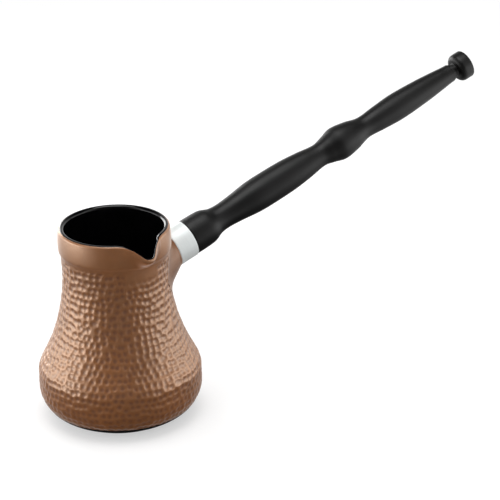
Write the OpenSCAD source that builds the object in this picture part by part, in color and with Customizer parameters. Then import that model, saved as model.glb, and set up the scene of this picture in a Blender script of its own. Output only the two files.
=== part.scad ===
// Long-handled coffee pot: a bell-shaped vessel with a side spout and a boss,
// and a turned grip held to the boss by a collar, a tie rod and an end knob.
// Millimetres. The origin is the centre of the base and +Z is up. The handle
// points along +X and the spout along -Y.

/* [Vessel] */
// Height from the table to the top of the rim
pot_h = 106.5; // [105.5:0.5:109.5]
// Largest outer diameter, at the belly
belly_d = 87; // [84:0.5:90]
// Smallest outer diameter, at the neck
neck_d = 56.4; // [54:0.1:58]
// Height of the narrowest ring of the neck
neck_z = 82.8; // [80:0.1:86]
// Height of the centre of the rounded belly edge
belly_z = 24.3; // [23:0.1:27]
// Radius of the rounded belly edge
belly_edge_r = 13.7; // [12:0.1:16]
// Radius of the rounded lower edge
low_edge_r = 16.5; // [15:0.5:17]
// Whole thickness of the wall, glaze included
wall_t = 3.4; // [3:0.1:3.8]
// Thickness of the black glaze inside
glaze_t = 0.5; // [0.4:0.1:0.6]

/* [Rim] */
// Height of the smooth band below the rim
band_h = 14.7; // [13:0.1:16]
// Largest diameter of the smooth band
band_d = 59.4; // [59:0.1:60.4]
// Radius of the band's slight bulge up and down
band_bulge_r = 50; // [40:5:80]

/* [Spout] */
// Reach of the spout's tip from the pot's axis
spout_reach = 36; // [34.5:0.5:37]
// Outer radius of the spout's tip
spout_tip_r = 4; // [3.8:0.1:4.6]
// Drop of the spout's tip below the rim
spout_drop = 6; // [4:0.5:7]
// Half of the spout's width where it leaves the rim
spout_half_w = 7.4; // [6.5:0.1:8]
// Height of the spout from its tip down to where it dies into the neck
spout_fall = 17; // [14:1:20]

/* [Foot] */
// Height of the black foot below the vessel
foot_h = 1.6; // [1.2:0.1:2]
// Diameter of the foot where it meets the table
foot_d = 60.5; // [57:0.5:62]

/* [Handle seat] */
// Upward tilt of the handle
handle_tilt = 17.9; // [16:0.1:20]
// Height at which the handle's axis crosses the pot's axis
handle_z = 73.5; // [72:0.1:75]
// Distance along the handle's axis from the pot's axis to the boss's face
seat_l = 35.7; // [35:0.1:37]
// Radius of the boss at its face
boss_r = 10.6; // [10.2:0.1:12.4]
// Radius of the boss where it starts inside the wall
boss_root_r = 17; // [14:0.5:17]
// Radius of the rounded edge of the boss
boss_edge_r = 0.8; // [0.5:0.1:2]

/* [Collar] */
// Outer diameter of the collar
collar_d = 20.6; // [20.4:0.1:21.2]
// Length of the collar
collar_l = 11; // [10:0.5:13]
// Wall of the collar
collar_t = 1.2; // [1:0.1:1.4]

/* [Grip] */
// Scale of every radius along the turned grip
grip_girth = 1; // [0.96:0.01:1.02]
// Clearance of the grip's spigot inside the collar
spigot_gap = 0.1; // [0.05:0.05:0.2]

/* [Knob] */
// Diameter of the end knob
knob_d = 15.9; // [15:0.1:17]
// Thickness of the knob's disc
knob_t = 7.7; // [7.4:0.1:9]
// Radius of the knob's rounded near edge
knob_near_r = 3; // [1.5:0.1:3.4]
// Radius of the knob's rounded far edge
knob_far_r = 0.6; // [0.5:0.1:1.5]
// Diameter of the knob's short neck
knob_neck_d = 7.4; // [7.2:0.1:8]
// Length of the knob's short neck
knob_neck_l = 2.5; // [1.5:0.1:3]

/* [Fastenings] */
// Diameter of the tie rod
rod_d = 4; // [3.6:0.2:4.2]
// Outer diameter of the threaded bush in the boss
bush_d = 8; // [7:0.5:9]
// Length of the bush in the boss
bush_l = 5.5; // [4.5:0.5:6]
// Thickness of the heat washer
heat_washer_t = 1.2; // [1:0.1:1.5]
// Thickness of the end washer
end_washer_t = 1; // [0.8:0.1:1.2]
// Diameter of the end washer
end_washer_d = 9; // [8.6:0.1:9.4]
// Outer diameter of the threaded bush in the knob
knob_bush_d = 6.4; // [6:0.1:6.8]
// Length of the bush in the knob
knob_bush_l = 5.2; // [4.6:0.1:5.4]

/* [Hidden] */

// Colours
copper = [0.66, 0.42, 0.27];
black_glaze = [0.02, 0.02, 0.022];
satin_metal = [0.84, 0.86, 0.87];
black_wood = [0.07, 0.065, 0.065];
steel = [0.62, 0.63, 0.65];
brass = [0.78, 0.62, 0.32];
fibre = [0.55, 0.42, 0.3];

// Vessel: three arcs that meet at a tangent, each as [radius, height] centres
belly_r = belly_d / 2;
neck_r = neck_d / 2;
belly_rise = neck_z - belly_z;
belly_in = belly_r - belly_edge_r;
low_z = 17.3;
low_c = [belly_r - low_edge_r, low_z];
belly_c = [belly_in, belly_z];
// Radius of the hollow flare that touches both the belly edge and the neck
flare_r = (pow(neck_r - belly_in, 2) + pow(belly_rise, 2) - pow(belly_edge_r, 2))
    / (2 * (belly_r - neck_r));
flare_c = [neck_r + flare_r, neck_z];
touch_a = atan2(belly_rise, flare_c.x - belly_in);

// Rim band and its round crown
band_z = pot_h - band_h;
crown_r = wall_t / 2;
bulge_c = [band_d / 2 - band_bulge_r, band_z + (band_h - crown_r) / 2];
bulge_a = asin((band_h - crown_r) / 2 / band_bulge_r);
crown_c = [bulge_c.x + band_bulge_r * cos(bulge_a) - crown_r, pot_h - crown_r];
band_edge = 0.4;
above = 1;

// Spout
spout_wall = 2.2;
spout_root_y = neck_r - 2.2;
spout_root_r = 1.9;
spout_foot_r = 2;
spout_tip_y = spout_reach - spout_tip_r;
spout_tip_z = pot_h - spout_drop - spout_tip_r;
spout_slope = atan2(spout_drop, spout_reach - spout_root_y);
open_h = 14;

// Handle stations, as distances along the handle's axis from the pot's axis
boss_start = 24;
rod_start = seat_l - bush_l + 0.3;
spigot_start = seat_l + heat_washer_t;
grip_start = seat_l + collar_l;
spigot_r = collar_d / 2 - collar_t - spigot_gap;
collar_edge = 0.3;
rod_gap = 0.2;

// Turned grip: distance from the collar, and radius there
grip_turns = [
    [0, 9.95], [10, 9.75], [13.4, 9.25], [18, 7.5], [23.4, 7.02],
    [32.5, 7.65], [43.7, 8.85], [52.5, 9.05], [66.9, 8.8], [78.5, 7.8],
    [89.6, 6.5], [96, 7.8], [102.5, 9.45], [111.4, 8.4], [120.3, 6.3],
    [131.6, 6.95], [144.3, 7.6], [161.8, 6.85], [174, 5.8], [183.3, 5]
];
turn_steps = 4;
grip_l = grip_turns[len(grip_turns) - 1].x;
grip_end = grip_start + grip_l;

// Knob stations
knob_start = grip_end + end_washer_t;
disc_start = knob_start + knob_neck_l;
knob_end = disc_start + knob_t;
knob_bush_start = knob_start + 1.2;
rod_end = knob_bush_start + knob_bush_l - 0.4;

// Smoothness of the round pieces
fine = 96;
ball_fine = 32;

// Points along an arc about c, from angle a0 to angle a1
function arc(c, r, a0, a1, n) =
    [for (i = [0:n]) c + r * [cos(a0 + (a1 - a0) * i / n), sin(a0 + (a1 - a0) * i / n)]];

// Floor height of the outline that lies a given inset inside the outer surface
function floor_z(inset) = foot_h + inset;

// Side of the vessel from the floor up to the band, moved inwards by inset
function side(inset) = concat(
    arc(low_c, low_edge_r - inset, -asin((low_z - floor_z(inset)) / (low_edge_r - inset)), 0, 9),
    arc(belly_c, belly_edge_r - inset, 0, touch_a, 6),
    arc(flare_c, flare_r + inset, 180 + touch_a, 180 - asin((band_z - neck_z) / (flare_r + inset)), 14)
);

// The vessel's full outer form: side, band and the outer half of the crown
function outer_outline() = concat(
    [[0, foot_h]],
    side(0),
    [[bulge_c.x + band_bulge_r * cos(bulge_a), band_z + band_edge]],
    arc(bulge_c, band_bulge_r, -bulge_a * 0.9, bulge_a, 6),
    arc(crown_c, crown_r, 0, 90, 6),
    [[0, pot_h]]
);

// The hollow that lies inset inside the outer surface, open at the top
function hollow_outline(inset) = concat(
    [[0, floor_z(inset)]],
    side(inset),
    arc(crown_c, inset - crown_r, 180, 90, 6),
    [[crown_c.x, pot_h + above], [0, pot_h + above]]
);

// Radius of the grip by cubic steps through its turning stations
function turn_slope(i) =
    i == 0 || i == len(grip_turns) - 1 ? 0
    : (grip_turns[i + 1].y - grip_turns[i - 1].y) / (grip_turns[i + 1].x - grip_turns[i - 1].x);

function turned(i, t) =
    let (a = grip_turns[i], b = grip_turns[i + 1], w = b.x - a.x)
    [
        a.x + w * t,
        a.y * (2 * pow(t, 3) - 3 * pow(t, 2) + 1) + b.y * (3 * pow(t, 2) - 2 * pow(t, 3))
            + w * turn_slope(i) * (pow(t, 3) - 2 * pow(t, 2) + t)
            + w * turn_slope(i + 1) * (pow(t, 3) - pow(t, 2))
    ];

function grip_profile() = concat(
    [for (i = [0:len(grip_turns) - 2], k = [0:turn_steps - 1]) turned(i, k / turn_steps)],
    [grip_turns[len(grip_turns) - 1]]
);

// Places its children on the handle's axis, at a distance from the pot's axis
module on_handle(distance = 0) {
    translate([0, 0, handle_z])
        rotate([0, 90 - handle_tilt, 0])
            translate([0, 0, distance])
                children();
}

// Solid turned from an outline of [radius, height] points
module turned_solid(points) {
    rotate_extrude($fn = fine)
        polygon(points);
}

// One skin of the spout: a beak that narrows to a round tip
module beak(inset, lift) {
    hull() {
        for (z = [0, lift])
            translate([0, -spout_tip_y, spout_tip_z + inset + z])
                sphere(r = spout_tip_r - inset, $fn = ball_fine);
        for (side = [-1, 1], z = [0, lift])
            translate([side * (spout_half_w - inset * 0.6), -spout_root_y, spout_tip_z + z])
                cylinder(r = spout_root_r, h = pot_h - spout_tip_z, $fn = ball_fine);
        translate([0, -spout_root_y, pot_h - spout_fall + inset * 2])
            sphere(r = spout_foot_r, $fn = ball_fine);
    }
}

// Half space above the spout's sloping lip
module above_lip() {
    translate([0, -spout_root_y, pot_h])
        rotate([spout_slope, 0, 0])
            translate([-open_h, -open_h * 2, 0])
                cube([open_h * 2, open_h * 2 + spout_root_y, open_h]);
}

module beak_below_lip(inset) {
    difference() {
        beak(inset, 0);
        above_lip();
    }
}

module boss() {
    on_handle()
        turned_solid(concat(
            [[0, boss_start], [boss_root_r, boss_start]],
            arc([boss_r - boss_edge_r, seat_l - boss_edge_r], boss_edge_r, 0, 90, 5),
            [[0, seat_l]]
        ));
}

// Copper-finished vessel with its spout and the boss that carries the handle
module pot_body() {
    color(copper)
        difference() {
            union() {
                turned_solid(outer_outline());
                beak_below_lip(0);
                boss();
            }
            turned_solid(hollow_outline(wall_t - glaze_t));
            beak(spout_wall - glaze_t, open_h);
            on_handle(seat_l - bush_l)
                cylinder(d = bush_d, h = bush_l + above, $fn = fine);
        }
}

// Black glaze over the whole inside, up to the middle of the crown
module inner_glaze() {
    color(black_glaze)
        difference() {
            union() {
                turned_solid(hollow_outline(wall_t - glaze_t));
                beak_below_lip(spout_wall - glaze_t);
            }
            turned_solid(hollow_outline(wall_t));
            beak(spout_wall, open_h);
        }
}

// Black foot that the vessel stands on
module base_foot() {
    color(black_glaze)
        cylinder(d1 = foot_d, d2 = foot_d + foot_h, h = foot_h, $fn = fine);
}

// Threaded bush set in the boss
module boss_bush() {
    color(brass)
        on_handle(seat_l - bush_l)
            ring(bush_d, rod_d, bush_l);
}

module ring(outer_d, inner_d, h) {
    difference() {
        cylinder(d = outer_d, h = h, $fn = fine);
        translate([0, 0, -above])
            cylinder(d = inner_d, h = h + 2 * above, $fn = fine);
    }
}

// Fibre washer that keeps the wood off the hot boss
module heat_washer() {
    color(fibre)
        on_handle(seat_l)
            ring(2 * spigot_r, rod_d + 2 * rod_gap, heat_washer_t);
}

// Satin metal collar between the boss and the grip
module collar() {
    color(satin_metal)
        on_handle(seat_l)
            turned_solid([
                [collar_d / 2 - collar_t, 0],
                [collar_d / 2 - collar_edge, 0],
                [collar_d / 2, collar_edge],
                [collar_d / 2, collar_l - collar_edge],
                [collar_d / 2 - collar_edge, collar_l],
                [collar_d / 2 - collar_t, collar_l]
            ]);
}

// Turned wooden grip with a spigot inside the collar and a hole for the rod
module grip() {
    color(black_wood)
        on_handle()
            turned_solid(concat(
                [
                    [rod_d / 2 + rod_gap, grip_end],
                    [rod_d / 2 + rod_gap, spigot_start],
                    [spigot_r, spigot_start],
                    [spigot_r, grip_start]
                ],
                [for (p = grip_profile()) [p.y * grip_girth, grip_start + p.x]]
            ));
}

// Threaded rod that pulls the knob, the grip and the collar against the boss
module tie_rod() {
    color(steel)
        on_handle(rod_start)
            cylinder(d = rod_d, h = rod_end - rod_start, $fn = fine);
}

module end_washer() {
    color(steel)
        on_handle(grip_end)
            ring(end_washer_d, rod_d + 2 * rod_gap, end_washer_t);
}

// End knob: a disc with a round near edge, on a short neck
module end_knob() {
    color(black_wood)
        on_handle()
            difference() {
                turned_solid(concat(
                    [[0, knob_start], [knob_neck_d / 2, knob_start], [knob_neck_d / 2, disc_start]],
                    arc([knob_d / 2 - knob_near_r, disc_start + knob_near_r], knob_near_r, -90, 0, 6),
                    arc([knob_d / 2 - knob_far_r, knob_end - knob_far_r], knob_far_r, 0, 90, 4),
                    [[0, knob_end]]
                ));
                translate([0, 0, knob_bush_start])
                    cylinder(d = knob_bush_d, h = knob_bush_l, $fn = fine);
                translate([0, 0, knob_start - above])
                    cylinder(d = rod_d + 2 * rod_gap, h = 2 * above + 1, $fn = fine);
            }
}

// Threaded bush moulded into the knob
module knob_bush() {
    color(brass)
        on_handle(knob_bush_start)
            ring(knob_bush_d, rod_d, knob_bush_l);
}

pot_body();
inner_glaze();
base_foot();
boss_bush();
heat_washer();
collar();
grip();
tie_rod();
end_washer();
end_knob();
knob_bush();
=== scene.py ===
import bpy
import numpy as np
from mathutils import Matrix, Vector


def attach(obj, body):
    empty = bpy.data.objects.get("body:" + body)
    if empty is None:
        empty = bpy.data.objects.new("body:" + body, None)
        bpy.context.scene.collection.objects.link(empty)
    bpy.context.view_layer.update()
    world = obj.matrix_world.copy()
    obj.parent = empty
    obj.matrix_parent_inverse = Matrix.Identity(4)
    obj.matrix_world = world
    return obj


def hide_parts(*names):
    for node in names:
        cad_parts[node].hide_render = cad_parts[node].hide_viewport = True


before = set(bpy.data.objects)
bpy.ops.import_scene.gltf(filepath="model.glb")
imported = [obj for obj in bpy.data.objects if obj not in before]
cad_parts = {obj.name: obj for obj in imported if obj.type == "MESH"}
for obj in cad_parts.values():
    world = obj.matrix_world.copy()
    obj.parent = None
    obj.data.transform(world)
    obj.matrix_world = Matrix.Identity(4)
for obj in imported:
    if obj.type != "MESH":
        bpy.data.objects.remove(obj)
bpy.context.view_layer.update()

# Long-handled coffee pot. Lengths are in millimetres until a mesh is made; the
# pot stands at the origin, its spout points along -Y and its handle along +X.

MM = 0.001
rng = np.random.default_rng(7)

# ---------------------------------------------------------------- sizes

# The vessel: radii from the pot's axis, heights above the table. The belly's edge and the low
# edge are arcs; the flare is the arc that joins the belly to the neck; the band closes the top.
POT_H = 106.5
BELLY_R = 43.5
NECK_R, NECK_Z = 28.2, 82.8
BELLY_EDGE_R, BELLY_Z = 13.7, 24.3
LOW_EDGE_R, LOW_Z = 16.5, 17.3
WALL, GLAZE = 3.4, 0.5
BODY_T = WALL - GLAZE
BAND_H, BAND_R, BAND_BULGE_R, BAND_EDGE = 14.7, 29.7, 50.0, 3.0
BAND_Z = POT_H - BAND_H
CROWN_R = WALL / 2
# Where the glaze starts on the crown, in degrees up from its outer side.
GLAZE_FROM = 62

# The black foot, and a strip of painted shade in black over the side above it: its top and
# thickness.
FOOT_H, FOOT_R, FOOT_RIM = 1.6, 30.25, 8.0
SHADE_STRIP_Z, SHADE_STRIP_T = 6.3, 0.08

# The handle: its tilt, the height where its axis meets the pot's, and lengths along that axis.
TILT = np.radians(17.9)
AXIS_Z = 73.5
SEAT_L = 35.7
BOSS_R, BOSS_ROOT_R, BOSS_START, BOSS_EDGE_R = 10.6, 17.0, 24.0, 0.8
# The boss's fillet: its length on the cone, how much further it runs on the wall, and how far it
# ends under the face. The cap that closes the boss lies deeper, about a point on the axis.
BOSS_FILLET, FILLET_RUN, FILLET_SINK = 4.0, 0.6, 0.12
BOSS_CAP_L, BOSS_SINK = 27.0, 1.3
COLLAR_R, COLLAR_L, COLLAR_T, COLLAR_EDGE_R = 10.3, 11.0, 1.2, 0.35
SPIGOT_R, SPIGOT_START, SPIGOT_EDGE = 9.0, 36.9, 0.3
BORE_R = 2.2
GRIP_START = SEAT_L + COLLAR_L
# The grip's turning: distance from the collar and radius at each crest, waist and edge.
GRIP_TURNS = np.array([
    [0, 9.95], [10, 9.75], [13.4, 9.25], [18, 7.5], [23.4, 7.02],
    [32.5, 7.65], [43.7, 8.85], [52.5, 9.05], [66.9, 8.8], [78.5, 7.8],
    [89.6, 6.5], [96, 7.8], [102.5, 9.45], [111.4, 8.4], [120.3, 6.3],
    [131.6, 6.95], [144.3, 7.6], [161.8, 6.85], [174, 5.8], [183.3, 5],
])
GRIP_END = GRIP_START + GRIP_TURNS[-1, 0]
KNOB_START = GRIP_END + 1.0
DISC_START = KNOB_START + 2.5
KNOB_R, KNOB_T, KNOB_NEAR_R, KNOB_FAR_R, KNOB_NECK_R = 7.95, 7.7, 3.0, 0.6, 3.7
KNOB_BUSH_R, KNOB_BUSH_L, KNOB_BUSH_IN = 3.2, 5.2, 1.2

# The spout: how far its tip reaches and sinks, its tip and root circles, and how it fades.
# Angles are in radians from the pot's front.
SPOUT_REACH, SPOUT_TIP_R, SPOUT_DROP, SPOUT_FALL = 36.0, 5.0, 6.8, 12.0
SPOUT_HALF_W, SPOUT_ROOT_R, SPOUT_WALL = 8.0, 1.9, 2.0
SPOUT_TURN = np.radians(1.8)
SPOUT_ROOT_Y = NECK_R - 2.2
SPOUT_SOFT_OUT, SPOUT_SOFT_IN = 2.4, 3.2
SPOUT_LIP, SPOUT_SINK_H = 0.8, 17.0
SPOUT_NEAR, SPOUT_NEAR_FADE, SPOUT_CLEAR = 0.55, 0.15, 0.7

# The hammer marks: width and height of a mark's place, the dish's depth, the deepest level in
# units of that depth, how far marks stray (shares of a place) and how much their depth varies.
MARK_W, MARK_H = 3.45, 3.7
DIMPLE, DEEPEST, RIDGE = 0.38, 1.3, -0.2
ASTRAY_ROUND, ASTRAY_UP, DEPTH_VARIES = 0.13, 0.11, 0.12
MARK_SHARP = 4.0
SWAY_ROUND, SWAY_UP, SWAY_R = 0.3, 0.32, 35
# Where marks fade, each a start and a length: up from the foot, down from the band, out from the
# handle's axis, up the neck, aside from the front in radians, and up the side to the belly.
FOOT_FADE, BAND_FADE, BOSS_FADE = (1.0, 3), (0.1, 1.2), (14.5, 4)
NECK_FADE, ASIDE_FADE, LOW_FADE = (78, 10), (0.25, 0.25), (23, 7)
LOW_SHARE = 0.85
# The glaze pools in a dish below this level, in units of the dish's depth.
POOL_LEVEL = 0.7
POT_COLS = 480


# ---------------------------------------------------------------- steps and corners

def smooth_max(a, b, soft):
    """The larger of two values, with the corner between them rounded over a width of soft."""
    return 0.5 * (a + b + np.sqrt((a - b) ** 2 + soft * soft))


def ease(x):
    """A step from 0 to 1 as x goes from 0 to 1: a cubic, level at both ends."""
    x = np.clip(x, 0, 1)
    return x * x * (3 - 2 * x)


def fade_in(x, start, length):
    """An eased step from 0 at start to 1 a length further on."""
    return ease((x - start) / length)


# ---------------------------------------------------------------- outlines

def arc(centre, radius, a0, a1, n):
    """Points on a circle about centre, from angle a0 to a1 in degrees."""
    a = np.radians(np.linspace(a0, a1, n + 1))
    return np.c_[centre[0] + radius * np.cos(a), centre[1] + radius * np.sin(a)]


def full_turn(cols):
    """Angles of so many columns, evenly round a full turn."""
    return np.linspace(0, 2 * np.pi, cols, endpoint=False)


def about_axis(r, z, turn):
    """Points at radius r and height z, at an angle turn round the pot's axis."""
    return np.stack([r * np.cos(turn), r * np.sin(turn), z + 0 * turn], -1)


def pole(z, cols):
    """A row of a grid whose points all lie on the pot's axis at height z."""
    return np.zeros((1, cols, 3)) + [0, 0, z]


def spaced(points, step):
    """The same line with its points set evenly, about step apart."""
    way = np.r_[0, np.cumsum(np.hypot(*np.diff(points, axis=0).T))]
    s = np.linspace(0, way[-1], max(2, int(round(way[-1] / step)) + 1))
    return np.c_[np.interp(s, way, points[:, 0]), np.interp(s, way, points[:, 1])]


BELLY_IN = BELLY_R - BELLY_EDGE_R
FLARE_SPAN = (NECK_R - BELLY_IN) ** 2 + (NECK_Z - BELLY_Z) ** 2
FLARE_R = (FLARE_SPAN - BELLY_EDGE_R ** 2) / (2 * (BELLY_R - NECK_R))
FLARE_C = (NECK_R + FLARE_R, NECK_Z)
TOUCH = np.degrees(np.arctan2(NECK_Z - BELLY_Z, FLARE_C[0] - BELLY_IN))
BULGE_C = (BAND_R - BAND_BULGE_R, BAND_Z + (BAND_H - CROWN_R) / 2)
BULGE_A = np.degrees(np.arcsin((BAND_H - CROWN_R) / 2 / BAND_BULGE_R))
CROWN_C = (BULGE_C[0] + BAND_BULGE_R * np.cos(np.radians(BULGE_A)) - CROWN_R, POT_H - CROWN_R)


def side(inset, floor_z):
    """Side of the vessel from its floor to the band: three arcs that meet at a tangent."""
    low = np.degrees(np.arcsin((LOW_Z - floor_z) / (LOW_EDGE_R - inset)))
    top = np.degrees(np.arcsin((BAND_Z - NECK_Z) / (FLARE_R + inset)))
    return np.vstack([
        arc((BELLY_R - LOW_EDGE_R, LOW_Z), LOW_EDGE_R - inset, -low, 0, 60),
        arc((BELLY_IN, BELLY_Z), BELLY_EDGE_R - inset, 0, TOUCH, 40),
        arc(FLARE_C, FLARE_R + inset, 180 + TOUCH, 180 - top, 160)[1:],
    ])


ALONG = np.array([np.cos(TILT), 0, np.sin(TILT)])
BELOW = np.array([np.sin(TILT), 0, -np.cos(TILT)])
ASIDE = np.array([0, 1, 0])
AXIS_FROM = np.array([0, 0, AXIS_Z])


def handle_points(length, radius, turn):
    """Points at a distance along the handle's axis, a radius from it and an angle round it."""
    out = np.cos(turn)[..., None] * BELOW + np.sin(turn)[..., None] * ASIDE
    return AXIS_FROM + length[..., None] * ALONG + radius[..., None] * out


def handle_distance(points):
    """Distance of each point from the handle's axis, and a long way for those behind the pot."""
    v = points - AXIS_FROM
    t = v @ ALONG
    return np.where(t > 0, np.linalg.norm(v - t[..., None] * ALONG, axis=-1), 99)


# ---------------------------------------------------------------- meshes

def skin(name, grid, ends="poles"):
    """A closed surface over a grid of points. Columns run round and join up. Rows end in one
    point at each end for ends='poles', and join up as well for ends='ring'."""
    rows, cols = grid.shape[:2]
    if ends == "poles":
        verts = np.vstack([grid[:1, 0], grid[1:-1].reshape(-1, 3), grid[-1:, 0]])
        ids = 1 + np.arange((rows - 2) * cols).reshape(rows - 2, cols)
        low, high = ids[:-1], ids[1:]
    else:
        verts = grid.reshape(-1, 3)
        ids = np.arange(rows * cols).reshape(rows, cols)
        low, high = ids, np.roll(ids, -1, 0)
    quads = np.stack([low, np.roll(low, -1, 1), np.roll(high, -1, 1), high], -1).reshape(-1, 4)
    faces = quads.tolist()
    if ends == "poles":
        first, last = ids[0], ids[-1]
        faces += np.stack([np.zeros_like(first), np.roll(first, -1), first], -1).tolist()
        end = np.full_like(last, len(verts) - 1)
        faces += np.stack([last, np.roll(last, -1), end], -1).tolist()
    mesh = bpy.data.meshes.new(name)
    mesh.from_pydata((verts * MM).tolist(), [], faces)
    mesh.polygons.foreach_set("use_smooth", np.ones(len(faces), bool))
    mesh.update()
    piece = bpy.data.objects.new(name, mesh)
    bpy.context.scene.collection.objects.link(piece)
    return piece


def turned(name, outline, cols=128, ends="ring"):
    """A piece turned about the handle's axis from an outline of [distance, radius] points."""
    turn = full_turn(cols)
    length = np.repeat(outline[:, :1], cols, 1)
    radius = np.repeat(outline[:, 1:], cols, 1)
    return skin(name, handle_points(length, radius, np.broadcast_to(turn, length.shape)), ends)


# ---------------------------------------------------------------- spout

def from_front(turn, offset=0):
    """Angle from the pot's front, turned by an offset, within half a turn either way."""
    aside = turn + np.pi / 2 - offset
    return (aside + np.pi) % (2 * np.pi) - np.pi


def beak_reach(aside, inset):
    """How far from the pot's axis the beak's outline lies in each direction. The outline is the
    hull of a tip circle and two root circles, met by a ray: the nearest of its tangent lines."""
    least = 0.02
    rays = np.c_[np.sin(aside), np.cos(aside)]
    # Directions of the tangents, from nearly a quarter turn left to nearly a quarter turn right.
    lean = np.linspace(-1.5, 1.5, 601)
    normals = np.c_[np.sin(lean), np.cos(lean)]
    root_x = SPOUT_HALF_W - 0.6 * inset
    circles = np.array([
        [0, SPOUT_REACH - SPOUT_TIP_R, SPOUT_TIP_R - inset],
        [root_x, SPOUT_ROOT_Y, SPOUT_ROOT_R],
        [-root_x, SPOUT_ROOT_Y, SPOUT_ROOT_R],
    ])
    support = (normals @ circles[:, :2].T + circles[:, 2]).max(1)
    facing = rays @ normals.T
    reach = np.where(facing > least, support / np.maximum(facing, least), 1e3).min(1)
    return np.where(np.abs(aside) < SPOUT_CLEAR, reach, 0)


def with_spout(r, z, w, turn):
    """Points of the pot's wall, pushed out and down where the spout is. r and z are the plain
    outline, and w runs from 0 on the outer face to 1 on the glaze. The push is the beak's reach
    past the rim; it fades with depth, more quickly inside, and the lip sinks with it."""
    aside = from_front(turn, SPOUT_TURN)
    rim_out, rim_in = CROWN_C[0] + CROWN_R, CROWN_C[0] - CROWN_R
    near = ease((SPOUT_NEAR - np.abs(aside)) / SPOUT_NEAR_FADE)
    push_out = (smooth_max(beak_reach(aside, 0), rim_out, SPOUT_SOFT_OUT) - rim_out) * near
    push_in = (smooth_max(beak_reach(aside, SPOUT_WALL), rim_in, SPOUT_SOFT_IN) - rim_in) * near
    depth = (POT_H - z)[:, None]
    w = w[:, None]
    kept = 1 - fade_in(depth, SPOUT_LIP, SPOUT_FALL - w)
    push = ((1 - w) * push_out + w * push_in) * kept
    lower = SPOUT_DROP * np.clip(push_out / (SPOUT_REACH - rim_out), 0, 1)
    lower = lower * (1 - ease(depth / SPOUT_SINK_H))
    return about_axis(r[:, None] + push, z[:, None] - lower, turn)


# ---------------------------------------------------------------- hammered vessel

def wave(turn, s, count, lean, phase=0.0):
    """A sine with count waves round the pot, set back a radian for every lean millimetres of s."""
    return np.sin(count * turn + s / lean + phase)


def hammered(s, r, turn):
    """Depth of the hammer marks at each point of the wall. Marks sit in rows along the side, each
    row with a whole number of marks and set half a mark past the last, and all a little astray.
    A mark is a shallow dish: its depth goes with the square of the distance from the nearest
    centre, and the ridges between dishes are rounded by a soft minimum. Slow sines in both
    directions bend the rows, as they bend when they are struck by hand."""
    rows = int(s[-1] / MARK_H) + 3
    row_s = (np.arange(rows) - 0.5) * MARK_H
    count = np.maximum(8, np.round(2 * np.pi * np.interp(row_s, s, r) / MARK_W)).astype(int)
    most = count.max()
    astray_round = rng.normal(0, ASTRAY_ROUND, (rows, most))
    astray_up = rng.normal(0, ASTRAY_UP, (rows, most)) * MARK_H
    deeper = 1 + rng.normal(0, DEPTH_VARIES, (rows, most))
    s, r = s[:, None], r[:, None]
    s = s + SWAY_UP * (wave(turn, s, 8, 12) + 0.5 * wave(turn, s, 15, -8, 2))
    turn = turn + SWAY_ROUND / SWAY_R * (wave(turn, s, 6, 9, 1) + 0.5 * wave(turn, s, 13, 7))
    here = np.floor(s / MARK_H + 1).astype(int)
    soft = 0.0
    for up in (-1, 0, 1):
        row = np.clip(here + up, 0, rows - 1)
        n = count[row]
        place = turn / (2 * np.pi) * n - 0.5 * (row % 2)
        base = np.floor(place).astype(int)
        for on in (-1, 0, 1, 2):
            k = (base + on) % n
            across = (place - base - on - astray_round[row, k]) / n * 2 * np.pi * r
            along = s - row_s[row] - astray_up[row, k]
            far = (across ** 2 + along ** 2) / (MARK_W / 2) ** 2
            soft = soft + np.exp(-MARK_SHARP * far) * deeper[row, k]
    return np.clip(-np.log(np.maximum(soft, 1e-6)) / MARK_SHARP, RIDGE, DEEPEST)


def marks_kept(s, plain, turn):
    """How much of the hammer marks is left at each point: they fade out at the foot, under the band,
    round the boss and on the neck below the spout, and are a little shallower low down."""
    up_side = fade_in(s, *FOOT_FADE)[:, None] * fade_in(s[-1] - s, *BAND_FADE)[:, None]
    off_boss = fade_in(handle_distance(plain), *BOSS_FADE)
    at_spout = 1 - fade_in(np.abs(from_front(turn)), *ASIDE_FADE)
    off_spout = 1 - fade_in(plain[:, :1, 2], *NECK_FADE) * at_spout
    low = LOW_SHARE + (1 - LOW_SHARE) * fade_in(s, *LOW_FADE)
    return up_side * off_boss * off_spout * low[:, None]


OUTER_SIDE = spaced(side(0, FOOT_H), 0.6)
INNER_SIDE = spaced(side(BODY_T, FOOT_H + BODY_T), 9)[::-1]


def band_line():
    """The band's outline: an eased step out from the side, then the bulge, a flat arc."""
    rise = np.array([0.2, 0.4, 0.6, 0.8])
    bulge = arc(BULGE_C, BAND_BULGE_R, -BULGE_A, BULGE_A, 40)
    bulge = bulge[bulge[:, 1] > BAND_Z + BAND_EDGE][::3]
    start = OUTER_SIDE[-1, 0]
    step_r = start + (bulge[0, 0] - start) * ease(rise)
    return np.vstack([np.c_[step_r, BAND_Z + BAND_EDGE * rise], bulge])


BAND = band_line()
CROWN_OUT = arc(CROWN_C, CROWN_R, 0, GLAZE_FROM, 6)[1:]
CROWN_IN = arc(CROWN_C, BODY_T - CROWN_R, GLAZE_FROM, 180, 4)


def through(crown):
    """How far through the wall each point of the crown lies, from 0 outside to 1 inside."""
    return (CROWN_C[0] + CROWN_R - crown[:, 0]) / WALL


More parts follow.
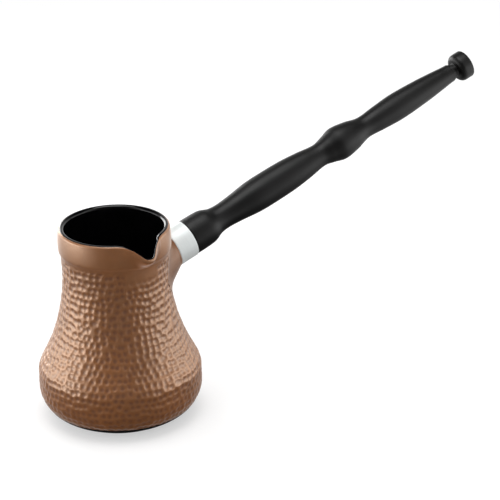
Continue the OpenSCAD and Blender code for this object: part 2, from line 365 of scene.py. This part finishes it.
def make_pot():
    """The vessel's copper-finished body: outer side with its hammer marks, smooth band, the outer
    part of the crown, then back down the inside to the floor. Each point of the side moves along
    the outline's normal by the marks' depth. The mesh keeps how hollow each point is."""
    turn = full_turn(POT_COLS)
    r, z = OUTER_SIDE.T
    s = np.r_[0, np.cumsum(np.hypot(*np.diff(OUTER_SIDE, axis=0).T))]
    plain = about_axis(r[:, None], z[:, None], turn)
    relief = hammered(s, r, turn)
    keep = marks_kept(s, plain, turn)
    slope = np.gradient(OUTER_SIDE, axis=0)
    slope /= np.linalg.norm(slope, axis=1)[:, None]
    push = -DIMPLE * (DEEPEST - relief) * keep
    dished = about_axis(r[:, None] + push * slope[:, 1:], z[:, None] - push * slope[:, :1], turn)
    dished = dished + (with_spout(r, z, np.zeros(len(r)), turn) - plain)

    rest = np.vstack([BAND, CROWN_OUT, CROWN_IN, INNER_SIDE])
    inside = np.full(len(INNER_SIDE), BODY_T / WALL)
    w = np.r_[np.zeros(len(BAND)), through(CROWN_OUT), through(CROWN_IN), inside]
    shaped = with_spout(rest[:, 0], rest[:, 1], w, turn)
    under, floor = pole(FOOT_H, POT_COLS), pole(FOOT_H + BODY_T, POT_COLS)
    piece = skin("hammered_pot", np.concatenate([under, dished, shaped, floor]))
    hollow = ease(1 - relief / POOL_LEVEL) * keep
    level = np.r_[0, hollow.ravel(), np.zeros(len(rest) * POT_COLS), 0]
    piece.data.attributes.new("hollow", "FLOAT", "POINT").data.foreach_set("value", level)
    return piece


def make_lining():
    """The black glaze: over most of the crown, down the inside, and back up against the body."""
    cols = 256
    turn = full_turn(cols)
    over = arc(CROWN_C, CROWN_R, GLAZE_FROM, 180, 10)
    down = np.vstack([over, spaced(side(WALL, FOOT_H + WALL), 1.2)[::-1]])
    up_side = spaced(side(BODY_T, FOOT_H + BODY_T), 3.0)
    back = np.vstack([up_side, CROWN_IN[::-1]])
    w_down = np.r_[through(over), np.ones(len(down) - len(over))]
    w_back = np.r_[np.full(len(up_side), BODY_T / WALL), through(CROWN_IN[::-1])]
    face = with_spout(down[:, 0], down[:, 1], w_down, turn)
    seat = with_spout(back[:, 0], back[:, 1], w_back, turn)
    low, floor = pole(FOOT_H + BODY_T, cols), pole(FOOT_H + WALL, cols)
    return skin("glaze_lining", np.concatenate([low, seat, face, floor]))


def wall_radius(height):
    """Radius of the vessel's outer side or band at a height."""
    line = np.vstack([OUTER_SIDE, BAND])
    return np.interp(height, line[:, 1], line[:, 0])


def onto_wall(points, sink):
    """Points moved straight in or out until they lie under the vessel's outer face by sink."""
    scale = (wall_radius(points[..., 2]) - sink) / np.hypot(points[..., 0], points[..., 1])
    return np.stack([points[..., 0] * scale, points[..., 1] * scale, points[..., 2]], -1)


def make_boss():
    """The boss: a short cone about the handle's axis, carried down to where it meets the vessel and
    there swept out by a quadratic curve onto the vessel's side, then closed inside the wall."""
    cols = 160
    a = full_turn(cols)
    edge_l = SEAT_L - BOSS_EDGE_R
    grow = (BOSS_ROOT_R - BOSS_R) / (edge_l - BOSS_START)

    def cone(length):
        """Points on the cone at a distance along the handle's axis."""
        return handle_points(length, BOSS_R + (edge_l - length) * grow, a + 0 * length)

    # Where each line of the cone goes into the vessel, found on a cone longer than it needs to be.
    length = np.linspace(edge_l, BOSS_START - 6, 400)[:, None] + 0 * a
    whole = cone(length)
    inside = np.hypot(whole[..., 0], whole[..., 1]) < wall_radius(whole[..., 2])
    meet = inside.argmax(0)
    foot_l = length[meet, 0]
    # The fillet leaves the cone a little above that, and never takes up the whole cone.
    free = np.minimum(BOSS_FILLET, (edge_l - foot_l) * 0.75)
    start = cone(foot_l + free)
    knee = whole[meet, np.arange(cols)]
    away = handle_points(foot_l * 0, np.ones(cols), a) - AXIS_FROM
    land = onto_wall(knee + away * (free[:, None] + FILLET_RUN), FILLET_SINK)
    t = np.linspace(0, 1, 15)[:, None, None]
    fillet = (1 - t) ** 2 * start + 2 * t * (1 - t) * knee + t ** 2 * land
    t = np.linspace(0, 1, 8)[:-1, None]
    straight = cone(edge_l + t * (foot_l + free - edge_l))
    e = np.radians(np.linspace(90, 0, 7))[:-1, None] + 0 * a
    edge_r = BOSS_R - BOSS_EDGE_R + BOSS_EDGE_R * np.cos(e)
    edge = handle_points(edge_l + BOSS_EDGE_R * np.sin(e), edge_r, a + 0 * e)
    face_r = np.array([0, 4, BOSS_R - 2.5])[:, None] + 0 * a
    face = handle_points(SEAT_L + 0 * face_r, face_r, a + 0 * face_r)
    buried = onto_wall(land, BOSS_SINK)
    # The cap inside the wall: straight from the fillet's buried end to one point.
    axis_in = onto_wall(handle_points(np.full(cols, BOSS_CAP_L), np.zeros(cols), a), BOSS_SINK)
    t = np.linspace(0, 1, 8)[:, None, None]
    cap = onto_wall(buried * (1 - t) + axis_in * t, BOSS_SINK)
    grid = np.concatenate([face, edge, straight, fillet, cap])
    return skin("handle_boss", grid[::-1])


def make_foot():
    """The black foot: a thin disc, a little wider above, with its edges eased, and a black skin that
    follows the vessel's side a few millimetres up: painted shade on the low edge by the floor."""
    disc = np.array([
        [0, 0], [FOOT_R - FOOT_RIM, 0], [FOOT_R - 0.25, 0], [FOOT_R - 0.07, 0.07], [FOOT_R, 0.22],
        [FOOT_R + 0.4, 0.9], [FOOT_R + 0.72, 1.42],
    ])
    over, under = side(-SHADE_STRIP_T, FOOT_H), side(0, FOOT_H)
    over, under = over[over[:, 1] < SHADE_STRIP_Z], under[under[:, 1] < SHADE_STRIP_Z]
    line = np.vstack([disc, over, under[::-1], [[FOOT_R - FOOT_RIM, FOOT_H], [0, FOOT_H]]])
    return skin("black_foot", about_axis(line[:, :1], line[:, 1:], full_turn(192)))


# ---------------------------------------------------------------- handle

def grip_radius(x):
    """Radius along the turned grip: cubic steps through its stations, level at both ends."""
    px, pr = GRIP_TURNS.T
    slope = np.zeros(len(px))
    slope[1:-1] = (pr[2:] - pr[:-2]) / (px[2:] - px[:-2])
    i = np.clip(np.searchsorted(px, x, side="right") - 1, 0, len(px) - 2)
    w = px[i + 1] - px[i]
    t = (x - px[i]) / w
    return (pr[i] * (2 * t ** 3 - 3 * t ** 2 + 1) + pr[i + 1] * (3 * t ** 2 - 2 * t ** 3)
            + w * slope[i] * (t ** 3 - 2 * t ** 2 + t) + w * slope[i + 1] * (t ** 3 - t ** 2))


def make_collar():
    """The collar: a thin tube with both outer edges rounded and its bore left plain."""
    edge_r = COLLAR_EDGE_R
    far_l, bore = SEAT_L + COLLAR_L, COLLAR_R - COLLAR_T
    near = arc((SEAT_L + edge_r, COLLAR_R - edge_r), edge_r, 180, 90, 5)
    far = arc((far_l - edge_r, COLLAR_R - edge_r), edge_r, 90, 0, 5)
    outside = spaced(np.vstack([near[-1:], far[:1]]), 1.1)[1:-1]
    inside = [[far_l, bore], [SEAT_L + 5, bore], [SEAT_L, bore]]
    return turned("satin_collar", np.vstack([near, outside, far, inside]))


def make_grip():
    """The turned grip: its profile from the collar to the end washer, its spigot inside the collar
    and the bore for the tie rod."""
    x = np.linspace(0, GRIP_TURNS[-1, 0], 300)
    body = np.c_[GRIP_START + x, grip_radius(x)]
    first_r = body[0, 1]
    near_edge = [[GRIP_START, first_r - 0.5], [GRIP_START + 0.12, first_r - 0.16]]
    far_edge = [[GRIP_END - 0.15, 4.97], [GRIP_END - 0.03, 4.85], [GRIP_END, 4.6]]
    bore = [[GRIP_END, BORE_R], [(GRIP_END + SPIGOT_START) / 2, BORE_R], [SPIGOT_START, BORE_R]]
    spigot = [
        [SPIGOT_START, SPIGOT_R - SPIGOT_EDGE], [SPIGOT_START + SPIGOT_EDGE, SPIGOT_R],
        [GRIP_START, SPIGOT_R],
    ]
    return turned("turned_grip", np.vstack([spigot, near_edge, body[1:-1], far_edge, bore]), 160)


def make_knob():
    """The end knob: a disc with a round near edge and a small far edge, on a short neck, hollow
    inside for its bush."""
    end = DISC_START + KNOB_T
    near = arc((DISC_START + KNOB_NEAR_R, KNOB_R - KNOB_NEAR_R), KNOB_NEAR_R, 180, 90, 12)
    far = arc((end - KNOB_FAR_R, KNOB_R - KNOB_FAR_R), KNOB_FAR_R, 90, 0, 6)
    neck = [
        [KNOB_START, BORE_R], [KNOB_START, KNOB_NECK_R - 0.2], [KNOB_START + 0.2, KNOB_NECK_R],
        [DISC_START - 0.3, KNOB_NECK_R], [DISC_START - 0.05, KNOB_NECK_R + 0.25],
        [DISC_START, KNOB_NECK_R + 0.6],
    ]
    bush = KNOB_START + KNOB_BUSH_IN
    bush_end = bush + KNOB_BUSH_L
    pocket = [[bush_end, 0], [bush_end, KNOB_BUSH_R], [bush, KNOB_BUSH_R], [bush, BORE_R]]
    face = [[end, 5.2], [end, 2.5], [end, 0]]
    return turned("end_knob_turned", np.vstack([pocket, neck, near, far, face]), 128, "poles")


# ---------------------------------------------------------------- materials

def makers(tree):
    """Two ways to work on a node tree: one adds a node with its values set, one joins sockets."""
    def node(kind, **values):
        """A node of a kind, with each value set on its input or, failing that, on the node."""
        made = tree.nodes.new("ShaderNode" + kind)
        for key, value in values.items():
            if key in made.inputs:
                made.inputs[key].default_value = value
            else:
                setattr(made, key, value)
        return made

    return node, tree.links.new


def finish_of(name, **values):
    """A new material with its shader's plain values set, and what is needed to add its nodes."""
    m = bpy.data.materials.new(name)
    m.use_nodes = True
    shader = m.node_tree.nodes["Principled BSDF"]
    for key, value in values.items():
        shader.inputs[key.replace("_", " ")].default_value = value
    node, link = makers(m.node_tree)
    return m, shader, node, link


def noise(node, link, scale, detail=3.0, stretch=None, roughness=0.55):
    """Noise on the piece's own coordinates, or stretched along the handle's axis."""
    place_on = node("TexCoord").outputs["Object"]
    made = node("TexNoise", Scale=scale, Detail=detail, Roughness=roughness)
    if stretch:
        turned_to = node("Mapping", Rotation=(0, TILT, 0))
        stretched = node("Mapping", Scale=stretch)
        link(place_on, turned_to.inputs["Vector"])
        link(turned_to.outputs["Vector"], stretched.inputs["Vector"])
        place_on = stretched.outputs["Vector"]
    link(place_on, made.inputs["Vector"])
    return made.outputs["Fac"]


def ramp(node, link, source, low, high):
    """A colour that goes from low to high where a pattern is near its middle."""
    made = node("ValToRGB")
    first, last = made.color_ramp.elements
    first.position, last.position = 0.35, 0.65
    first.color, last.color = (*low, 1), (*high, 1)
    link(source, made.inputs["Fac"])
    return made.outputs["Color"]


def spread(node, link, source, low, high):
    """A number that goes from low to high with a pattern."""
    made = node("MapRange")
    made.inputs["From Min"].default_value, made.inputs["From Max"].default_value = 0.3, 0.7
    made.inputs["To Min"].default_value, made.inputs["To Max"].default_value = low, high
    link(source, made.inputs["Value"])
    return made.outputs["Result"]


def raise_by(node, link, height, depth, shader, strength=1.0):
    """Fine relief on a shader from a pattern, so many metres deep."""
    made = node("Bump", Distance=depth, Strength=strength)
    link(height, made.inputs["Height"])
    link(made.outputs["Normal"], shader.inputs["Normal"])


# Tones are pairs, from the darker to the paler; roughness is a pair, from smooth to rough.
COPPER_BODY = ((0.31, 0.085, 0.002), (0.37, 0.102, 0.003))
# The boss's tones are the copper's, darkened: painted shade for the shadow beside the collar and
# under the boss.
BOSS_PAINTED_SHADE = ((0.17, 0.044, 0.001), (0.25, 0.066, 0.002))
COPPER_DEEP = (0.23, 0.05, 0.0)
COPPER_METAL, COPPER_IOR = 0.24, 3.0
COPPER_TINT = (1.0, 0.95, 0.79)
COPPER_SHEEN, SHEEN_ROUGH = 1.0, 0.36
SHEEN_TINT = (1.0, 0.84, 0.76)
COPPER_COAT, COAT_ROUGH = 0.25, 0.16
LINING_TONES = ((0.001, 0.001, 0.0012), (0.0018, 0.0018, 0.00216))
FOOT_TONES = ((0.008, 0.0075, 0.007), (0.0144, 0.0135, 0.0126))
WOOD_TONES = ((0.0015, 0.0014, 0.0013), (0.0035, 0.0032, 0.003))
FIBRE_TONES = ((0.16, 0.10, 0.06), (0.36, 0.25, 0.16))
ALUMINIUM = ((0.85, 0.895, 0.892), (0.88, 0.925, 0.922))
STEEL = ((0.45, 0.46, 0.47), (0.6, 0.61, 0.62))
BLACKENED_STEEL = ((0.03, 0.03, 0.03), (0.07, 0.07, 0.07))
BRASS = ((0.62, 0.44, 0.16), (0.76, 0.56, 0.24))


def copper_lustre(name, tones, rough, gloss):
    """Copper lustre fired on clay: a warm brown body under a thin glaze full of bright metal, which
    reflects more than glass does and warms what it shows. A sheen pales it where it turns away, and
    the glaze pools darker in the hollows."""
    m, shader, node, link = finish_of(
        name, Metallic=COPPER_METAL, IOR=COPPER_IOR, Specular_IOR_Level=gloss,
        Specular_Tint=(*COPPER_TINT, 1), Coat_Weight=COPPER_COAT, Coat_Roughness=COAT_ROUGH,
        Sheen_Weight=COPPER_SHEEN, Sheen_Roughness=SHEEN_ROUGH, Sheen_Tint=(*SHEEN_TINT, 1),
    )
    body, pool, colour = 6, 7, 2
    pooled = node("Mix", data_type="RGBA")
    pooled.inputs[pool].default_value = (*COPPER_DEEP, 1)
    link(node("Attribute", attribute_name="hollow").outputs["Fac"], pooled.inputs["Factor"])
    link(ramp(node, link, noise(node, link, 55, 4), *tones), pooled.inputs[body])
    link(pooled.outputs[colour], shader.inputs["Base Color"])
    link(spread(node, link, noise(node, link, 420), *rough), shader.inputs["Roughness"])
    raise_by(node, link, noise(node, link, 700, 2), 0.00003, shader, 0.25)
    return m


def glaze(name, tones, rough):
    """Black glaze: glassy, with the slight waviness of a poured coat."""
    m, shader, node, link = finish_of(name)
    link(ramp(node, link, noise(node, link, 90), *tones), shader.inputs["Base Color"])
    link(spread(node, link, noise(node, link, 260), *rough), shader.inputs["Roughness"])
    raise_by(node, link, noise(node, link, 130, 1), 0.00012, shader, 0.25)
    return m


def metal(name, tones, rough, lines, line_scale=900, metallic=1.0):
    """Turned or drawn metal: fine lines that run round or along the handle's axis."""
    m, shader, node, link = finish_of(name, Metallic=metallic)
    cut = noise(node, link, 1.0, 3, (line_scale, 30, 30))
    link(ramp(node, link, cut, *tones), shader.inputs["Base Color"])
    link(spread(node, link, cut, *rough), shader.inputs["Roughness"])
    raise_by(node, link, cut, lines, shader, 0.5)
    return m


def black_wood(name):
    """Black-stained turned wood under a satin lacquer: fine grain along the handle."""
    m, shader, node, link = finish_of(name, Specular_IOR_Level=0.42)
    grain = noise(node, link, 1.0, 5, (22, 520, 520), 0.6)
    link(ramp(node, link, grain, *WOOD_TONES), shader.inputs["Base Color"])
    link(spread(node, link, noise(node, link, 70), 0.4, 0.5), shader.inputs["Roughness"])
    raise_by(node, link, grain, 0.00006, shader, 0.5)
    return m


def pressed_fibre():
    """Pressed fibre washer: mottled brown, matt."""
    m, shader, node, link = finish_of("pressed_fibre")
    fleck = noise(node, link, 900, 4)
    link(ramp(node, link, fleck, *FIBRE_TONES), shader.inputs["Base Color"])
    link(spread(node, link, fleck, 0.75, 0.9), shader.inputs["Roughness"])
    raise_by(node, link, fleck, 0.0001, shader, 0.6)
    return m


# ---------------------------------------------------------------- pieces

def place(piece, slot, look, *nodes):
    """Dress a piece, put it on the pot's one body and hide the solid it stands in for."""
    piece.data.materials.append(look)
    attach(piece, "root")
    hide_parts(*nodes)


copper = copper_lustre("copper_lustre", COPPER_BODY, (0.31, 0.39), 0.5)
place(make_pot(), "copper_finish", copper, "pot_body")
# The boss gets a darker copy of the copper: painted shade.
copper = copper_lustre("copper_lustre_boss_painted_shade", BOSS_PAINTED_SHADE, (0.4, 0.5), 0.25)
place(make_boss(), "copper_finish", copper, "pot_body")
lining = glaze("black_lining_glaze", LINING_TONES, (0.05, 0.1))
place(make_lining(), "black_glaze", lining, "inner_glaze")
# The foot's black also covers the strip of painted shade low on the side.
place(make_foot(), "black_foot", glaze("black_foot_and_painted_shade", FOOT_TONES, (0.4, 0.55)), "base_foot")
aluminium = metal("satin_aluminium", ALUMINIUM, (0.45, 0.55), 0.00001, metallic=0.3)
place(make_collar(), "satin_collar", aluminium, "collar")
place(make_grip(), "black_wood", black_wood("black_stained_wood"), "grip")
place(make_knob(), "black_knob", black_wood("black_stained_knob"), "end_knob")

# The pieces that keep the shape of their solid, and only get a finish.
KEPT = {
    "tie_rod": metal("drawn_steel", STEEL, (0.3, 0.42), 0.00003, 700),
    "end_washer": metal("blackened_washer_steel", BLACKENED_STEEL, (0.35, 0.45), 0.00002, 1100),
    "boss_bush": metal("turned_brass", BRASS, (0.25, 0.38), 0.00002, 1100),
    "knob_bush": metal("turned_brass_small", BRASS, (0.25, 0.38), 0.00002, 1300),
    "heat_washer": pressed_fibre(),
}
for node_name, look in KEPT.items():
    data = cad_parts[node_name].data
    data.materials.clear()
    data.materials.append(look)


# ---------------------------------------------------------------- camera

# The camera stands in front of the spout, turned about the pot, and looks down on it. Its way
# back and up are in millimetres, its angles in degrees and its lens in millimetres.
CAMERA_TURN = np.radians(28.91)
CAMERA_BACK, CAMERA_UP = 1134.09, 590.81
YAW, PITCH, ROLL = np.radians([3.569, 23.842, -1.264])
LENS = 170.42


def studio_point(across, back, up):
    """A place or direction in the studio: across to the camera's right, back towards it, and up."""
    c, s = np.cos(CAMERA_TURN), np.sin(CAMERA_TURN)
    return Vector((c * across - s * back, -s * across - c * back, up))


def set_camera():
    """The camera: its three axes from yaw and pitch, rolled about the way it looks."""
    ahead = np.array([np.sin(YAW) * np.cos(PITCH), np.cos(YAW) * np.cos(PITCH), -np.sin(PITCH)])
    level = np.array([np.cos(YAW), -np.sin(YAW), 0])
    upward = np.cross(level, ahead)
    right = np.cos(ROLL) * level + np.sin(ROLL) * upward
    upward = np.cos(ROLL) * upward - np.sin(ROLL) * level
    spot = np.array([0, -CAMERA_BACK, CAMERA_UP]) * MM
    columns = [studio_point(v[0], -v[1], v[2]) for v in (right, upward, -ahead, spot)]
    camera = bpy.data.objects.new("camera", bpy.data.cameras.new("camera"))
    camera.data.lens, camera.data.sensor_width = LENS, 36
    camera.data.clip_start, camera.data.clip_end = 0.05, 50
    camera.matrix_world = Matrix([[c[row] for c in columns] for row in range(3)] + [[0, 0, 0, 1]])
    bpy.context.scene.collection.objects.link(camera)
    bpy.context.scene.camera = camera


set_camera()


# ---------------------------------------------------------------- studio

# Lengths here are in metres and angles in degrees, from the way towards the camera. The cards are
# dark to their core and pale from their edge on; a box is [aside, back, width, height, radiance].
CARD_AWAY, CARD_HIGH = 0.6, 1.3
CARD_DARK, CARD_PALE, HORIZON = 0.015, 1.0, 0.1
STAND_CORE, STAND_EDGE = 27, 80
# The mat's dark middle, darkest under the pot, is painted shade for the floor by the foot, seen in
# reflections.
MAT_CORE, MAT_EDGE, MAT_NEAR, MAT_RIGHT = 0.11, 0.36, 0.06, 1.35
MAT_ASIDE_CORE, MAT_UNDER = 20, 0.045
CEILING_EDGE, CEILING_CORE = 10, 45
FLOOR_SIZE, FLOOR_COLOUR, FLOOR_GLOW = 6.0, 0.5, 0.5
WORLD_LIGHT = 0.75
LEFT_BOX = (-0.42, -0.02, 0.42, 0.2, 1.62)
RIGHT_BOX = (0.45, -0.02, 0.42, 0.2, 0.8)
BACK_TURN, BACK_AWAY, BACK_SIZE, BACK_RADIANCE = np.radians(-152), 0.5, 0.3, 4.5
TOP_HIGH, TOP_SIZE, TOP_RADIANCE = 1.2, 0.8, 3.3
WHITE, BLACK = (1, 1, 1, 1), (0, 0, 0, 1)


def soft_box(name, at, aim, width, height, radiance):
    """A soft box of a plain level radiance that looks from one place to another."""
    lamp = bpy.data.lights.new(name, "AREA")
    lamp.shape, lamp.size, lamp.size_y = "RECTANGLE", width, height
    lamp.energy = radiance * np.pi * width * height
    box = bpy.data.objects.new(name, lamp)
    box.location = at
    box.rotation_euler = (aim - at).to_track_quat("-Z", "Y").to_euler()
    box.visible_camera = False
    bpy.context.scene.collection.objects.link(box)


def side_box(name, aside, back, width, height, radiance):
    """A soft box that stands on the floor beside the pot and looks straight across."""
    up = height / 2 + 0.01
    soft_box(name, studio_point(aside, back, up), studio_point(0, back, up), width, height, radiance)


def looked_at(node, link):
    """1 for light that goes to the eye, straight or by a mirror or glass, and 0 for the rest."""
    path = node("LightPath")
    either = node("Math", operation="MAXIMUM")
    any_of = node("Math", operation="MAXIMUM")
    link(path.outputs["Is Camera Ray"], either.inputs[0])
    link(path.outputs["Is Glossy Ray"], either.inputs[1])
    link(either.outputs[0], any_of.inputs[0])
    link(path.outputs["Is Transmission Ray"], any_of.inputs[1])
    return any_of.outputs[0]


def studio_floor():
    """A pale floor that stays white to the eye and keeps the object's soft shadow."""
    size = FLOOR_SIZE
    corners = [(-size, -size, 0), (size, -size, 0), (size, size, 0), (-size, size, 0)]
    mesh = bpy.data.meshes.new("floor")
    mesh.from_pydata(corners, [], [(0, 1, 2, 3)])
    floor = bpy.data.objects.new("floor", mesh)
    bpy.context.scene.collection.objects.link(floor)
    m, shader, node, link = finish_of(
        "pale_floor", Base_Color=(FLOOR_COLOUR, FLOOR_COLOUR, FLOOR_COLOUR, 1), Roughness=0.9,
        Specular_IOR_Level=0.0, Emission_Color=WHITE,
    )
    glow = node("Math", operation="MULTIPLY")
    glow.inputs[1].default_value = FLOOR_GLOW
    link(looked_at(node, link), glow.inputs[0])
    link(glow.outputs[0], shader.inputs["Emission Strength"])
    floor.data.materials.append(m)


def studio_air():
    """The world: white to the eye, and a little less than white as a light."""
    world = bpy.data.worlds.new("studio")
    bpy.context.scene.world = world
    world.use_nodes = True
    node, link = makers(world.node_tree)
    background = world.node_tree.nodes["Background"]
    background.inputs["Color"].default_value = WHITE
    level = node("MapRange")
    level.inputs["To Min"].default_value, level.inputs["To Max"].default_value = WORLD_LIGHT, 1.0
    link(looked_at(node, link), level.inputs["Value"])
    link(level.outputs["Result"], background.inputs["Strength"])


def reflected_card(name, grid, shade):
    """A card that shows only in reflections: a grid of studio points and how pale each one is."""
    rows, cols = grid.shape[:2]
    ids = np.arange(rows * cols).reshape(rows, cols)
    quads = np.stack([ids[:-1, :-1], ids[:-1, 1:], ids[1:, 1:], ids[1:, :-1]], -1).reshape(-1, 4)
    mesh = bpy.data.meshes.new(name)
    mesh.from_pydata([tuple(studio_point(*p)) for p in grid.reshape(-1, 3)], [], quads.tolist())
    mesh.attributes.new("shade", "FLOAT", "POINT").data.foreach_set("value", shade.ravel())
    card = bpy.data.objects.new(name, mesh)
    bpy.context.scene.collection.objects.link(card)
    m, shader, node, link = finish_of(
        name, Base_Color=BLACK, Specular_IOR_Level=0.0, Emission_Color=WHITE,
    )
    pale = node("Attribute", attribute_name="shade").outputs["Fac"]
    link(pale, shader.inputs["Emission Strength"])
    card.data.materials.append(m)
    card.visible_camera = False
    card.visible_diffuse = False
    card.visible_shadow = False


def paler(step):
    """A card's shade, from dark to pale with an eased step."""
    return CARD_DARK + (CARD_PALE - CARD_DARK) * ease(step)


def dark_stand():
    """A card that stands round the camera's side, pale at both ends, with a faint horizon."""
    a = np.radians(np.linspace(-STAND_EDGE, STAND_EDGE, 41))
    pale = paler((np.abs(np.degrees(a)) - STAND_CORE) / (STAND_EDGE - STAND_CORE))
    up = np.array([0.001, 0.08, 0.16, 0.26, 0.4, CARD_HIGH])[:, None] + 0 * a
    horizon = HORIZON * np.array([0.3, 1, 1, 0.4, 0, 0])[:, None]
    grid = np.stack([CARD_AWAY * np.sin(a) + 0 * up, CARD_AWAY * np.cos(a) + 0 * up, up], -1)
    reflected_card("dark_card", grid, np.maximum(pale, horizon))


def painted_shade_mat():
    """A card under the pot, seen only in reflections: dark towards the camera, and painted shade
    in the middle for the floor round the foot, wider on its right under the boss.
    """
    a = np.radians(np.linspace(-180, 180, 145))
    middle = np.linspace(0.03, MAT_CORE, 5)
    outer = np.linspace(MAT_CORE, MAT_EDGE * 1.3, 10)[1:]
    away = np.r_[middle, outer, CARD_AWAY][:, None] + 0 * a
    aside = ease((np.abs(np.degrees(a)) - MAT_ASIDE_CORE) / (STAND_EDGE - MAT_ASIDE_CORE))
    core = np.where(a > 0, MAT_CORE * MAT_RIGHT, MAT_CORE)
    out = ease((away - core) / (MAT_EDGE - MAT_CORE))
    # The darkest part, right under the pot, is painted shade.
    near = CARD_DARK + (MAT_NEAR - CARD_DARK) * fade_in(away, MAT_UNDER, MAT_CORE - MAT_UNDER)
    shade = near + (CARD_PALE - near) * aside * out
    grid = np.stack([away * np.sin(a), away * np.cos(a), 0 * away + 0.0004], -1)
    reflected_card("painted_shade_mat", grid, shade)


def dark_ceiling():
    """A dome over the pot, pale near the horizon and dark above."""
    a = np.radians(np.linspace(-180, 180, 145))
    rise = np.radians(np.linspace(CEILING_EDGE, 90, 9))[:, None] + 0 * a
    grid = np.stack([np.cos(rise) * np.sin(a), np.cos(rise) * np.cos(a), np.sin(rise)], -1)
    shade = paler((CEILING_CORE - np.degrees(rise)) / (CEILING_CORE - CEILING_EDGE))
    reflected_card("dark_ceiling", grid * CARD_HIGH, shade)


studio_floor()
dark_stand()
painted_shade_mat()
dark_ceiling()
studio_air()
side_box("soft_box_left", *LEFT_BOX)
side_box("soft_box_right", *RIGHT_BOX)
back_at = studio_point(
    BACK_AWAY * np.sin(BACK_TURN), BACK_AWAY * np.cos(BACK_TURN), BACK_SIZE / 2 + 0.02)
soft_box("soft_box_back", back_at, Vector((0, 0, 0.1)), BACK_SIZE, BACK_SIZE, BACK_RADIANCE)
top_at = Vector((0, 0, TOP_HIGH))
soft_box("soft_box_top", top_at, Vector((0, 0, 0)), TOP_SIZE, TOP_SIZE, TOP_RADIANCE)

bpy.context.scene.view_settings.view_transform = "Standard"
